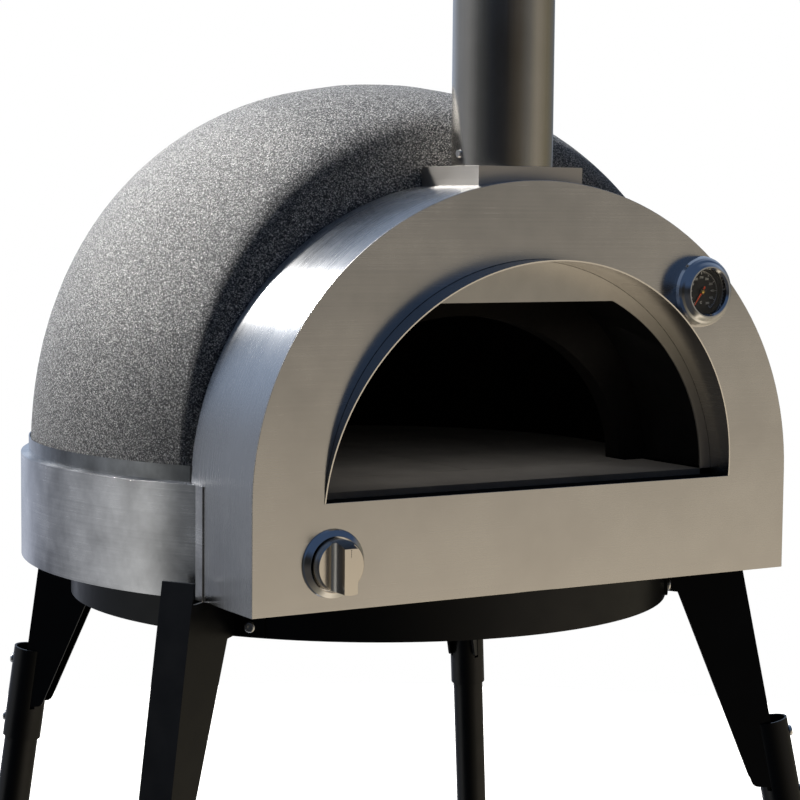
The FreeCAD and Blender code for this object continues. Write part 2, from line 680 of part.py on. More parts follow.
def hexagon(radius, height):
    corners = [Vector(radius * math.cos(math.radians(60 * side)),
                      radius * math.sin(math.radians(60 * side)), 0) for side in range(7)]
    return Part.Face(Part.makePolygon(corners)).extrude(Z_AXIS * height)


# ---- gas control ----

def knob_turned(points):
    """Turned piece on the knob's axis; points are (radius, distance in front of the hood)."""
    return turned_y([(radius, HOOD_FRONT - reach) for radius, reach in points], KNOB_X, KNOB_Z)


def knob_bezel():
    """Ring on the hood's face, rising inwards to a thin lip round the knob."""
    inner = KNOB_RADIUS + 1.5
    return knob_turned([(SPINDLE_RADIUS + 3, 0), (KNOB_BEZEL_RADIUS, 0),
                        (KNOB_BEZEL_RADIUS, 1.2), (KNOB_BEZEL_RADIUS - 1.2, 2.6),
                        (inner + 0.8, 6.0), (inner, 5.6), (inner, 0.8),
                        (SPINDLE_RADIUS + 3, 0.8)])


def knob_grip():
    """Grip bar across the knob's face: hollow flanks, its top end sloping back."""
    foot_y = HOOD_FRONT - KNOB_FACE_REACH + 2
    front_y = HOOD_FRONT - KNOB_GRIP_REACH
    waist_y = HOOD_FRONT - KNOB_FACE_REACH - 5
    half_foot = 14.0
    half_waist = 9.6
    half_front = 7.9
    right = Part.Arc(Vector(half_foot, foot_y, 0), Vector(half_waist, waist_y, 0),
                     Vector(half_front, front_y, 0)).toShape()
    left = Part.Arc(Vector(-half_front, front_y, 0), Vector(-half_waist, waist_y, 0),
                    Vector(-half_foot, foot_y, 0)).toShape()
    front = Part.makeLine(Vector(half_front, front_y, 0), Vector(-half_front, front_y, 0))
    back = Part.makeLine(Vector(-half_foot, foot_y, 0), Vector(half_foot, foot_y, 0))
    bar = Part.Face(Part.Wire([right, front, left, back])).extrude(Z_AXIS * 60)
    bar.translate(Vector(0, 0, -30))
    slope = [Vector(-20, foot_y, KNOB_RADIUS + 1), Vector(-20, front_y, KNOB_RADIUS - 7),
             Vector(-20, front_y, -40), Vector(-20, foot_y, -40)]
    bar = bar.common(Part.Face(Part.makePolygon(slope + [slope[0]])).extrude(X_AXIS * 40))
    bar.translate(Vector(KNOB_X, 0, KNOB_Z))
    return bar.common(rod_y(KNOB_RADIUS - 0.5, KNOB_X, KNOB_Z, front_y, foot_y))


def control_knob():
    """Round knob with a grip bar across its face and a blind bore for the spindle."""
    body = knob_turned([(0, KNOB_STANDOFF), (KNOB_RADIUS - 1, KNOB_STANDOFF),
                        (KNOB_RADIUS, KNOB_STANDOFF + 1), (KNOB_RADIUS, KNOB_FACE_REACH - 1.5),
                        (KNOB_RADIUS - 1.5, KNOB_FACE_REACH), (0, KNOB_FACE_REACH)])
    bore = rod_y(SPINDLE_RADIUS, KNOB_X, KNOB_Z, HOOD_FRONT - KNOB_BORE_REACH, HOOD_FRONT)
    return body.fuse(knob_grip()).cut(bore)


def valve_spindle():
    front = HOOD_FRONT - KNOB_BORE_REACH + GAP
    back = VALVE_FRONT + 16
    return rod_y(SPINDLE_RADIUS, KNOB_X, KNOB_Z, front, back)


def valve_thrust_collar():
    collar = rod_y(SPRING_POCKET - 0.4, KNOB_X, KNOB_Z, THRUST_COLLAR_FRONT,
                   THRUST_COLLAR_BACK)
    bore = rod_y(SPINDLE_RADIUS + RUNNING_CLEARANCE, KNOB_X, KNOB_Z,
                 THRUST_COLLAR_FRONT - 1, THRUST_COLLAR_BACK + 1)
    return collar.cut(bore)


def valve_spring():
    """Return spring that travels with the collar; its tail sits in the valve's pocket."""
    length = VALVE_FRONT + 8 - KNOB_TRAVEL - GAP - THRUST_COLLAR_BACK - 2 * SPRING_WIRE
    coil = SPRING_RADIUS - SPRING_WIRE
    steps = 12 * SPRING_TURNS
    points = []
    for step in range(steps + 1):
        turn = math.radians(30 * step)
        points.append(Vector(coil * math.cos(turn), coil * math.sin(turn), length * step / steps))
    path = Part.BSplineCurve()
    path.interpolate(points)
    wire = round_pipe(Part.Wire([path.toShape()]), SPRING_WIRE)
    wire.rotate(Vector(0, 0, 0), X_AXIS, -90)
    wire.translate(Vector(KNOB_X, THRUST_COLLAR_BACK + SPRING_WIRE, KNOB_Z))
    return wire


def valve_foot():
    return box(KNOB_X - 10, KNOB_X + 10, VALVE_FRONT + 18, VALVE_BACK - 4,
               FLOOR_PLATE_TOP + GAP, KNOB_Z - 14)


def gas_valve():
    """Valve body behind the hood, with the spindle's bore and the spring's pocket."""
    nose = rod_y(12, KNOB_X, KNOB_Z, VALVE_FRONT, VALVE_FRONT + 14)
    body = box(KNOB_X - 17, KNOB_X + 17, VALVE_FRONT + 12, VALVE_BACK, KNOB_Z - 16, KNOB_Z + 14)
    bore = rod_y(SPINDLE_RADIUS + RUNNING_CLEARANCE, KNOB_X, KNOB_Z,
                 VALVE_FRONT - 1, VALVE_FRONT + 20)
    pocket = rod_y(SPRING_POCKET, KNOB_X, KNOB_Z, VALVE_FRONT - 1, VALVE_FRONT + 8)
    return nose.fuse(body).fuse(valve_foot()).cut(bore).cut(pocket)


def feed_route(radius):
    """Gas feed from the valve's back, under the hearth and up into the chamber."""
    bend = 22.0
    turn_y = FEED_RISE_Y
    z = KNOB_Z
    top = BURNER_Z - BURNER_RADIUS + 2
    start = Vector(KNOB_X, VALVE_BACK, z)
    level_end = Vector(KNOB_X, turn_y - bend, z)
    rise_start = Vector(KNOB_X, turn_y, z + bend)
    middle = Vector(KNOB_X, turn_y - bend + bend * math.sin(math.pi / 4),
                    z + bend - bend * math.cos(math.pi / 4))
    edges = [Part.makeLine(start, level_end),
             Part.Arc(level_end, middle, rise_start).toShape(),
             Part.makeLine(rise_start, Vector(KNOB_X, turn_y, top))]
    return round_pipe(Part.Wire(edges), radius)


def burner_feed_pipe():
    return feed_route(PIPE_RADIUS)


def burner_tube():
    tube = rod_y(BURNER_RADIUS, KNOB_X, BURNER_Z, BURNER_START, BURNER_END)
    hollow = rod_y(BURNER_RADIUS - 2, KNOB_X, BURNER_Z, BURNER_START + 3, BURNER_END - 3)
    tube = tube.cut(hollow)
    ports = 12
    pitch = (BURNER_END - BURNER_START - 40) / (ports - 1)
    for port in range(ports):
        centre = Vector(KNOB_X, BURNER_START + 20 + port * pitch, BURNER_Z + 5)
        tube = tube.cut(Part.makeCylinder(2.5, 20, centre))
    feet_y = (BURNER_START + 15, BURNER_END - 15)
    for y in feet_y:
        foot = box(KNOB_X - 8, KNOB_X + 8, y - 4, y + 4, HEARTH_TOP, BURNER_Z - BURNER_RADIUS + 3)
        tube = tube.fuse(foot.cut(rod_y(BURNER_RADIUS - 1, KNOB_X, BURNER_Z, y - 9, y + 9)))
    inlet = Part.makeCylinder(PIPE_RADIUS, 6, Vector(KNOB_X, FEED_RISE_Y, BURNER_Z - BURNER_RADIUS - 2))
    return tube.cut(inlet)


def burner_guard():
    """Bent sheet that shields the burner from the cooking floor."""
    inner_x = KNOB_X + 30
    height = 78.0
    wall = box(inner_x, inner_x + 3, BURNER_START - 10, BURNER_END + 10,
               HEARTH_TOP, HEARTH_TOP + height)
    roof = box(inner_x - 22, inner_x + 3, BURNER_START - 10, BURNER_END + 10,
               HEARTH_TOP + height, HEARTH_TOP + height + 3)
    return wall.fuse(roof)


def igniter_electrode():
    """Ceramic rod with its spark wire, beside the burner's front ports."""
    x = KNOB_X + 20
    y = BURNER_START + 20
    rod = Part.makeCylinder(3.5, 38, Vector(x, y, HEARTH_TOP))
    wire = Part.makeCylinder(1.0, 14, Vector(x, y, HEARTH_TOP + 34))
    return rod.fuse(wire)


def around_ring(shape, angle_deg):
    """Places a shape built along +X at an angle from the front, positive to the right."""
    placed = shape.copy()
    placed.rotate(Vector(0, 0, 0), Z_AXIS, angle_deg - 90)
    return placed


def rod_out(radius, start, end):
    return Part.makeCylinder(radius, end - start, Vector(start, 0, INLET_PIPE_Z), X_AXIS)


def at_inlet(shape):
    return around_ring(shape, INLET_DEG)


def inlet_block():
    half = 9.0
    return box(INLET_PIPE_RADIUS - 10, RING_RADIUS - SHEET - GAP, -half, half,
               INLET_PIPE_Z - half, INLET_PIPE_Z + half)


def gas_inlet_pipe():
    """Bent pipe inside the ring, from the valve's foot round to the inlet at the back."""
    start_deg = -40.0
    section = Part.Face(Part.Wire([Part.makeCircle(
        PIPE_RADIUS, Vector(INLET_PIPE_RADIUS, 0, INLET_PIPE_Z), Y_AXIS)]))
    pipe = around_ring(section, start_deg).revolve(Vector(0, 0, 0), Z_AXIS, INLET_DEG - start_deg)
    return pipe.cut(at_inlet(inlet_block())).cut(valve_foot())


def gas_inlet_fitting():
    """Elbow block with a hexagon collar and a hose nipple outside the ring."""
    nipple = rod_out(NIPPLE_RADIUS, RING_RADIUS - 5, NIPPLE_END)
    collar = hexagon(11.0, 6.0)
    collar.rotate(Vector(0, 0, 0), Y_AXIS, 90)
    collar.translate(Vector(RING_RADIUS + GAP, 0, INLET_PIPE_Z))
    bore = rod_out(NIPPLE_RADIUS - 3, NIPPLE_END - 16, NIPPLE_END + 1)
    return at_inlet(inlet_block().fuse(nipple).fuse(collar).cut(bore))


# ---- legs, built towards +X and turned to their place ----

def hanging_rod(radius, start, end):
    return Part.makeCylinder(radius, end - start, Vector(0, 0, -end))


def bolt(extra):
    """Button-headed bolt along +X, its head's base at x = 0; with an extra, its hole."""
    shank = Part.makeCylinder(BOLT_RADIUS + extra, 28, Vector(-28, 0, 0), X_AXIS)
    if extra:
        return shank
    head = Part.makeCylinder(BOLT_HEAD_RADIUS, BOLT_HEAD_HEIGHT, Vector(0, 0, 0), X_AXIS)
    outer_edge = [edge for edge in head.Edges
                  if edge.BoundBox.XMin > BOLT_HEAD_HEIGHT - 0.2 and edge.Closed]
    head = head.makeFillet(BOLT_HEAD_HEIGHT * 0.7, outer_edge)
    socket = hexagon(SOCKET_RADIUS, 2.0)
    socket.rotate(Vector(0, 0, 0), Y_AXIS, 90)
    socket.translate(Vector(BOLT_HEAD_HEIGHT - 1.9, 0, 0))
    return shank.fuse(head).cut(socket)


def sleeve_bolt(drop, extra):
    placed = bolt(extra)
    placed.translate(Vector(SLEEVE_RADIUS + 0.02, 0, -drop))
    return placed


def pan_bolt(side, extra):
    placed = bolt(extra)
    placed.translate(Vector(PAN_RADIUS + PLATE + 0.4, 0, TAB_BOLT_Z))
    placed.rotate(Vector(0, 0, 0), Z_AXIS, side * TAB_ANGLE_DEG)
    return placed


def all_pan_bolts(extra):
    return Part.makeCompound([around_ring(pan_bolt(side, extra), leg.angle)
                              for leg in LEGS for side in (-1, 1)])


def all_sleeve_bolts():
    return Part.makeCompound([around_ring(leg.hang(sleeve_bolt(drop, 0)), leg.angle)
                              for leg in LEGS for drop in BOLT_DROPS])


def bracket_cheek(leg, side):
    """Tapering side plate from the pan's wall down into the sleeve's slit."""
    top = RING_BOTTOM - GAP
    end = leg.bracket_end
    under_pan = RING_BOTTOM - PAN_HEIGHT
    corners = [Vector(leg.reach(top), 0, top), Vector(PAN_RADIUS - 5, 0, top),
               Vector(PAN_RADIUS - 5, 0, under_pan + 2), Vector(leg.cheek_radius, 0, under_pan),
               Vector(leg.reach(end) - leg.tip_width, 0, end), Vector(leg.reach(end), 0, end)]
    cheek = Part.Face(Part.makePolygon(corners + [corners[0]])).extrude(Y_AXIS * PLATE)
    tip = [edge for edge in cheek.Edges if edge.BoundBox.YLength > 1
           and edge.BoundBox.ZMax < end + 1 and edge.BoundBox.XMin < leg.reach(end) - 10]
    cheek = cheek.makeFillet(9, tip)
    inner = WEB_WIDTH / 2 - PLATE
    cheek.translate(Vector(0, inner if side > 0 else -inner - PLATE, 0))
    return cheek


def bracket_tab(side):
    """Curved ear on the pan's wall."""
    low = RING_BOTTOM - PAN_HEIGHT + 2
    ear = band(PAN_RADIUS + PLATE + 0.3, PAN_RADIUS + 0.3, low, RING_BOTTOM - GAP)
    near, far = sorted((side * (WEB_WIDTH / 2 - 1), side * (WEB_WIDTH / 2 + 36)))
    return ear.common(box(0, 600, near, far, 0, 2000))


def leg_bracket(leg):
    """Sheet channel: outward web, two cheeks and two ears on the pan."""
    half = PLATE / 2
    end = leg.bracket_end
    corners = [Vector(leg.reach(leg.web_top) - half, 0, leg.web_top),
               Vector(leg.reach(leg.web_top) + half, 0, leg.web_top),
               Vector(leg.reach(end) + half, 0, end),
               Vector(leg.reach(end) - half, 0, end)]
    bracket = Part.Face(Part.makePolygon(corners + [corners[0]])).extrude(Y_AXIS * WEB_WIDTH)
    bracket.translate(Vector(0, -WEB_WIDTH / 2, 0))
    for side in (-1, 1):
        bracket = bracket.fuse(bracket_cheek(leg, side))
    bracket = bracket.cut(disc(PAN_RADIUS + 0.3, RING_BOTTOM - PAN_HEIGHT - 0.3, RING_TOP))
    for side in (-1, 1):
        bracket = bracket.fuse(bracket_tab(side)).cut(pan_bolt(side, 0.2))
    return bracket.cut(leg.hang(sleeve_bolt(BOLT_DROPS[0], 0.2)))


def bracket_depth(leg):
    """Length of the bracket inside the sleeve, along the leg."""
    return leg.length(leg.sleeve_top - leg.bracket_end)


def leg_sleeve(leg):
    """Outer tube, slit on its inner side for the bracket's cheeks."""
    tube = hanging_rod(SLEEVE_RADIUS, 0, SLEEVE_LENGTH)
    tube = tube.cut(hanging_rod(SLEEVE_BORE, -1, SLEEVE_LENGTH + 1))
    for side in (-1, 1):
        near, far = sorted((side * (WEB_WIDTH / 2 - PLATE - GAP), side * (WEB_WIDTH / 2 + GAP)))
        tube = tube.cut(box(-SLEEVE_RADIUS - 1, 2, near, far, -bracket_depth(leg) - 2, 1))
    for drop in BOLT_DROPS:
        tube = tube.cut(sleeve_bolt(drop, 0.2))
    return leg.hang(tube)


def tube_end(leg):
    """Length along the leg from the sleeve's top to the lower tube's foot end."""
    return leg.length(leg.sleeve_top - FOOT_SOLE)


def leg_tube(leg):
    start = bracket_depth(leg) + 3
    tube = hanging_rod(TUBE_RADIUS, start, tube_end(leg))
    tube = tube.cut(hanging_rod(TUBE_RADIUS - TUBE_WALL, start - 1, tube_end(leg) + 1))
    return leg.hang(tube.cut(sleeve_bolt(BOLT_DROPS[1], 0.2)))


def foot_cap(leg):
    """Rubber cap over the tube's end, flat on the floor."""
    end = tube_end(leg)
    cap = hanging_rod(FOOT_RADIUS, end - 24, end + 40).cut(hanging_rod(TUBE_RADIUS, 0, end))
    return leg.hang(cap).common(box(0, 900, -300, 300, 0, 500))


# ---- assembly ----

def all_parts():
    parts = {
        "stand_pan": stand_pan(),
        "base_plate": base_plate(),
        "base_ring": base_ring(),
        "dome_trim_strip": dome_trim_strip(),
        "floor_insulation": floor_insulation(),
        "hearth_stone_left": hearth_stone(-1),
        "hearth_stone_right": hearth_stone(1),
        "hearth_stone_front": hearth_stone_front(),
        "dome_core": dome_core(),
        "dome_insulation": dome_insulation(),
        "dome_render": dome_render(),
        "hood_front_panel": hood_front_panel(),
        "hood_wrap": hood_wrap(),
        "throat_band": throat_band(),
        "inner_face_plate": inner_face_plate(),
        "sill_trough": sill_trough(),
        "smoke_duct": smoke_duct(),
        "flue_collar": flue_collar(),
        "chimney_flange": chimney_flange(),
        "chimney_pipe": chimney_pipe(),
        "flue_screws": flue_screws(),
        "cap_straps": cap_straps(),
        "cap_rivets": cap_rivets(),
        "rain_cap": rain_cap(),
        "thermometer_bezel": thermometer_bezel(),
        "thermometer_dial": thermometer_dial(),
        "thermometer_glass": thermometer_glass(),
        "thermometer_needle": thermometer_needle(),
        "thermometer_stem": thermometer_stem(),
        "thermometer_nut": thermometer_nut(),
        "knob_bezel": knob_bezel(),
        "control_knob": control_knob(),
        "valve_spindle": valve_spindle(),
        "valve_thrust_collar": valve_thrust_collar(),
        "valve_spring": valve_spring(),
        "gas_valve": gas_valve(),
        "burner_feed_pipe": burner_feed_pipe(),
        "burner_tube": burner_tube(),
        "burner_guard": burner_guard(),
        "igniter_electrode": igniter_electrode(),
        "gas_inlet_pipe": gas_inlet_pipe(),
        "gas_inlet_fitting": gas_inlet_fitting(),
        "pan_bolts": all_pan_bolts(0),
        "sleeve_bolts": all_sleeve_bolts(),
    }
    for leg in LEGS:
        parts["leg_bracket_" + leg.place] = around_ring(leg_bracket(leg), leg.angle)
        parts["leg_sleeve_" + leg.place] = around_ring(leg_sleeve(leg), leg.angle)
        parts["leg_tube_" + leg.place] = around_ring(leg_tube(leg), leg.angle)
        parts["foot_cap_" + leg.place] = around_ring(foot_cap(leg), leg.angle)
    return parts


def save_all():
    """Writes every part, moved so that the origin is under the middle of the whole depth."""
    parts = all_parts()
    whole = Part.makeCompound(list(parts.values())).optimalBoundingBox(False)
    middle = (whole.YMin + whole.YMax) / 2
    print("depth centre", round(middle, 3), "size", whole)
    for name, shape in parts.items():
        shape.translate(Vector(0, -middle, 0))
        save(name, shape)


save_all()
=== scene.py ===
import json
import math

import bmesh
import bpy
from mathutils import Matrix, Vector


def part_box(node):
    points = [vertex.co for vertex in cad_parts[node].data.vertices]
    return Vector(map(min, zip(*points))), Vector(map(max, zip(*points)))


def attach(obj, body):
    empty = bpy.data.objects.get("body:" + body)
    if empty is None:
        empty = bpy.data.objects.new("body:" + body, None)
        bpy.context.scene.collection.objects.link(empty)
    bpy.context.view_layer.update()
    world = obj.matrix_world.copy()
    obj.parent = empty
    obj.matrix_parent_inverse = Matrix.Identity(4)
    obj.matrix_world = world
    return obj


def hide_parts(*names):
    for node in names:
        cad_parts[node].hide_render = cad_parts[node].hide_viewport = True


# Looks of the domed pizza oven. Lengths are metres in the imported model's frame:
# +Z up, the mouth towards -Y.

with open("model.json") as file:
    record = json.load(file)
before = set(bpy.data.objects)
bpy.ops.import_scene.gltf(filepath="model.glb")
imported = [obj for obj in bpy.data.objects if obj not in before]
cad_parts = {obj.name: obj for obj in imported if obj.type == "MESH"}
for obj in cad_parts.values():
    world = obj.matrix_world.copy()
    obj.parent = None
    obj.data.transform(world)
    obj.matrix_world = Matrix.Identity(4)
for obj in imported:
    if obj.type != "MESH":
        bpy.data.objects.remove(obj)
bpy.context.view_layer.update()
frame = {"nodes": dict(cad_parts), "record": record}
nodes = frame["nodes"]


def middle(node):
    low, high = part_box(node)
    return (low + high) / 2


# ---- places read from the frame ----

DOME_AXIS = middle("stand_pan")
RING_LOW, RING_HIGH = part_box("base_ring")
RING_TOP = RING_HIGH.z
RING_RADIUS = RING_HIGH.x
PANEL_LOW, PANEL_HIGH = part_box("hood_front_panel")
HOOD_SPRING = RING_TOP - 0.0065
GAUGE = middle("thermometer_bezel")
KNOB = middle("knob_bezel")
FLUE = middle("chimney_pipe")
FLUE_RADIUS = 0.057


# ---- node-graph helper ----

class Graph:
    """Builds the shader nodes of a new material, or of a world handed in; every method
    returns an output socket."""

    def __init__(self, name, world=None):
        self.material = world or bpy.data.materials.new(name)
        self.material.use_nodes = True
        self.tree = self.material.node_tree
        self.shader = self.tree.nodes.get("Principled BSDF")
        place = "Generated" if world else "Object"
        self.place = self.tree.nodes.new("ShaderNodeTexCoord").outputs[place]

    def node(self, kind, **settings):
        made = self.tree.nodes.new(kind)
        for key, value in settings.items():
            setattr(made, key, value)
        return made

    def feed(self, socket, value):
        if isinstance(value, bpy.types.NodeSocket):
            self.tree.links.new(value, socket)
        else:
            socket.default_value = value

    def math(self, operation, first, second=0.0, clamp=False):
        made = self.node("ShaderNodeMath", operation=operation, use_clamp=clamp)
        self.feed(made.inputs[0], first)
        self.feed(made.inputs[1], second)
        return made.outputs[0]

    def split(self, vector):
        made = self.node("ShaderNodeSeparateXYZ")
        self.feed(made.inputs[0], vector)
        return made.outputs

    def join(self, x, y, z):
        made = self.node("ShaderNodeCombineXYZ")
        for socket, value in zip(made.inputs, (x, y, z)):
            self.feed(socket, value)
        return made.outputs[0]

    def stretch(self, vector, scale, offset=(0, 0, 0)):
        made = self.node("ShaderNodeMapping")
        self.feed(made.inputs["Vector"], vector)
        made.inputs["Scale"].default_value = scale
        made.inputs["Location"].default_value = offset
        return made.outputs[0]

    def noise(self, vector, scale, detail=3.0, roughness=0.55):
        made = self.node("ShaderNodeTexNoise")
        self.feed(made.inputs["Vector"], vector)
        made.inputs["Scale"].default_value = scale
        made.inputs["Detail"].default_value = detail
        made.inputs["Roughness"].default_value = roughness
        return made.outputs["Fac"]

    def cells(self, vector, scale):
        made = self.node("ShaderNodeTexVoronoi")
        self.feed(made.inputs["Vector"], vector)
        made.inputs["Scale"].default_value = scale
        return made.outputs

    def ramp(self, value, *stops):
        made = self.node("ShaderNodeValToRGB")
        self.feed(made.inputs[0], value)
        band = made.color_ramp
        while len(band.elements) < len(stops):
            band.elements.new(0.5)
        for element, (place, colour) in zip(band.elements, stops):
            element.position = place
            element.color = colour if len(colour) == 4 else (*colour, 1)
        return made.outputs[0]

    def remap(self, value, low, high, new_low, new_high):
        made = self.node("ShaderNodeMapRange")
        for socket, number in zip(made.inputs, (value, low, high, new_low, new_high)):
            self.feed(socket, number)
        return made.outputs[0]

    def mix(self, factor, first, second, blend="MIX"):
        made = self.node("ShaderNodeMix", data_type="RGBA", blend_type=blend)
        self.feed(made.inputs[0], factor)
        for socket, value in ((made.inputs[6], first), (made.inputs[7], second)):
            self.feed(socket, value if not isinstance(value, tuple) else (*value[:3], 1))
        return made.outputs[2]

    def bump(self, height, strength, distance, normal=None):
        made = self.node("ShaderNodeBump")
        made.inputs["Strength"].default_value = strength
        made.inputs["Distance"].default_value = distance
        self.feed(made.inputs["Height"], height)
        if normal is not None:
            self.feed(made.inputs["Normal"], normal)
        return made.outputs[0]

    def angle_about(self, axis, centre):
        """Angle around an axis through centre, in radians."""
        x, y, z = self.split(self.place)
        if axis == "Z":
            return self.math("ARCTAN2", self.math("SUBTRACT", x, centre.x),
                             self.math("SUBTRACT", centre.y, y))
        return self.math("ARCTAN2", self.math("SUBTRACT", x, centre.x),
                         self.math("SUBTRACT", z, centre.z))

    def finish(self, colour=None, roughness=None, metallic=None, normal=None, **plain):
        for socket, value in (("Base Color", colour), ("Roughness", roughness),
                              ("Metallic", metallic), ("Normal", normal)):
            if value is not None:
                if isinstance(value, tuple) and len(value) == 3:
                    value = (*value, 1)
                self.feed(self.shader.inputs[socket], value)
        for socket, value in plain.items():
            self.shader.inputs[socket.replace("_", " ")].default_value = value
        return self.material


# ---- materials ----

def brushed_steel(name, grain, colour, roughness, axis=None, anisotropy=0.5, streak=0.06,
                  smudge_and_painted_reflection=0.07, relief=0.14, cloud_scale=7.0):
    """Brushed stainless. grain(graph) gives coordinates whose Y runs across the strokes."""
    g = Graph(name)
    across = grain(g)
    fine = g.noise(g.stretch(across, (6, 2600, 0)), 1.0, 4.0, 0.6)
    coarse = g.noise(g.stretch(across, (2.2, 420, 0), (3, 7, 0)), 1.0, 3.0, 0.6)
    cloud = g.noise(g.place, cloud_scale, 4.0, 0.6)
    strokes = g.math("ADD", g.math("MULTIPLY", fine, 0.6), g.math("MULTIPLY", coarse, 0.4))
    shade = g.remap(strokes, 0.3, 0.7, 1 - streak, 1 + streak)
    # Clouds of tone: smudges on most of the steel; on the trim strip, with a large share, painted
    # reflection.
    clouds = g.remap(cloud, 0.3, 0.7, 1 - smudge_and_painted_reflection, 1 + smudge_and_painted_reflection)
    tone = g.math("MULTIPLY", shade, clouds)
    tinted = g.node("ShaderNodeVectorMath", operation="SCALE")
    tinted.inputs[0].default_value = colour
    g.feed(tinted.inputs["Scale"], tone)
    rough = g.math("ADD", g.remap(strokes, 0.3, 0.7, roughness - 0.05, roughness + 0.05),
                   g.remap(cloud, 0.35, 0.65, -0.03, 0.03), clamp=True)
    if axis:
        tangent = g.node("ShaderNodeTangent", direction_type="RADIAL", axis=axis)
        g.feed(g.shader.inputs["Tangent"], tangent.outputs[0])
    return g.finish(tinted.outputs[0], rough, 1.0, g.bump(strokes, relief, 0.00006),
                    Anisotropic=anisotropy if axis else 0.0,
                    Anisotropic_Rotation=0.25 if axis else 0.0)


# The grain functions give strokes around the dome's axis, along the hood's arch, level in the
# front plane, and up the chimney pipe.

def grain_around_ring(g):
    height = g.split(g.place)[2]
    turn = g.math("MULTIPLY", g.angle_about("Z", DOME_AXIS), RING_RADIUS)
    return g.join(turn, height, 0)


def grain_along_hood(g):
    depth = g.split(g.place)[1]
    turn = g.math("MULTIPLY", g.angle_about("Y", Vector((0, 0, HOOD_SPRING))), PANEL_HIGH.x)
    return g.join(turn, depth, 0)


def grain_level(g):
    place = g.split(g.place)
    return g.join(place[0], place[2], 0)


def grain_upright(g):
    height = g.split(g.place)[2]
    turn = g.math("MULTIPLY", g.angle_about("Z", FLUE), FLUE_RADIUS)
    return g.join(height, turn, 0)


PAINTED_SHADE_HEIGHT = 0.17        # the render is painted darker from the ring up to here: painted shade on the dome's low part
GRAIN_CELLS = 1200          # cells per metre
SMALL_GRAIN_CELLS = 2100


def dome_render():
    """Dark speckled mineral render: packed grains, each with its own tone and glint."""
    g = Graph("dome_render")
    grains = g.cells(g.place, GRAIN_CELLS)
    small = g.cells(g.place, SMALL_GRAIN_CELLS)
    tone = g.split(grains["Color"])[0]
    tone_small = g.split(small["Color"])[1]
    base = g.ramp(tone, (0.0, (0.008, 0.009, 0.012)), (0.45, (0.052, 0.056, 0.063)),
                  (0.70, (0.20, 0.208, 0.22)), (0.86, (0.72, 0.725, 0.735)),
                  (0.95, (1.0, 1.0, 1.0)))
    fine = g.ramp(tone_small, (0.0, (0.55, 0.55, 0.56)), (0.8, (1.0, 1.0, 1.0)),
                  (1.0, (2.2, 2.2, 2.2)))
    colour = g.mix(1.0, base, fine, "MULTIPLY")
    # Painted shade: the render's colour is darkened to 0.62 at the ring's top and fades to none
    # 170 mm above it.
    above_ring = g.remap(g.split(g.place)[2], RING_TOP, RING_TOP + PAINTED_SHADE_HEIGHT, 0.0, 1.0)
    painted_shade = g.ramp(above_ring, (0.0, (0.62,) * 3), (1.0, (1.0,) * 3))
    colour = g.mix(1.0, colour, painted_shade, "MULTIPLY")
    rough = g.ramp(tone_small, (0.0, (0.75,) * 3), (0.7, (0.6,) * 3), (0.93, (0.28,) * 3))
    bumps = g.math("ADD", g.math("MULTIPLY", grains["Distance"], -1.0),
                   g.math("MULTIPLY", small["Distance"], -0.6))
    lumps = g.noise(g.place, 60, 3.0)
    normal = g.bump(bumps, 0.42, 0.0009, g.bump(lumps, 0.3, 0.0015))
    return g.finish(colour, rough, 0.0, normal, Specular_IOR_Level=0.5)


def powder_coat():
    """Satin black powder coat with a fine orange-peel surface."""
    g = Graph("black_powder_coat")
    peel = g.noise(g.place, 900, 2.0)
    cloud = g.noise(g.place, 9, 4.0)
    colour = g.ramp(cloud, (0.3, (0.004, 0.005, 0.007)), (0.7, (0.007, 0.008, 0.011)))
    rough = g.remap(g.noise(g.place, 30, 4.0), 0.3, 0.7, 0.30, 0.40)
    return g.finish(colour, rough, 0.0, g.bump(peel, 0.10, 0.0002), Specular_IOR_Level=0.28)


def plain_metal(name, colour, roughness):
    """Smooth metal with slight clouds of tone and a fine change of gloss."""
    g = Graph(name)
    cloud = g.noise(g.place, 40, 4.0)
    shade = g.remap(cloud, 0.3, 0.7, 0.96, 1.04)
    tinted = g.node("ShaderNodeVectorMath", operation="SCALE")
    tinted.inputs[0].default_value = colour
    g.feed(tinted.inputs["Scale"], shade)
    rough = g.remap(g.noise(g.place, 400, 3.0), 0.3, 0.7, roughness * 0.8, roughness * 1.25)
    return g.finish(tinted.outputs[0], rough, 1.0)


def mineral(name, dark, light, scale, roughness, bump):
    """Matte mineral from dark to light clouds, with pores of the given bump depth."""
    g = Graph(name)
    cloud = g.noise(g.place, scale, 6.0, 0.62)
    pores = g.noise(g.place, scale * 24, 2.0)
    colour = g.ramp(cloud, (0.3, dark), (0.72, light))
    return g.finish(colour, roughness, 0.0, g.bump(pores, 0.5, bump))


def plain_coat(name, colour, roughness):
    """Paint, rubber or glaze with slight clouds of tone."""
    g = Graph(name)
    cloud = g.noise(g.place, 60, 3.0)
    dark = tuple(channel * 0.85 for channel in colour)
    return g.finish(g.ramp(cloud, (0.35, dark), (0.65, colour)),
                    g.remap(cloud, 0.3, 0.7, roughness - 0.04, roughness + 0.04), 0.0)


def clear_glass():
    """Thin clear pane: a mirror by its Fresnel share, open for the rest."""
    g = Graph("gauge_glass")
    smear = g.remap(g.noise(g.place, 90, 3.0), 0.3, 0.7, 0.02, 0.06)
    share = g.node("ShaderNodeFresnel")
    share.inputs["IOR"].default_value = 1.28
    g.feed(g.shader.inputs["Alpha"], share.outputs[0])
    return g.finish((1, 1, 1), smear, 1.0)


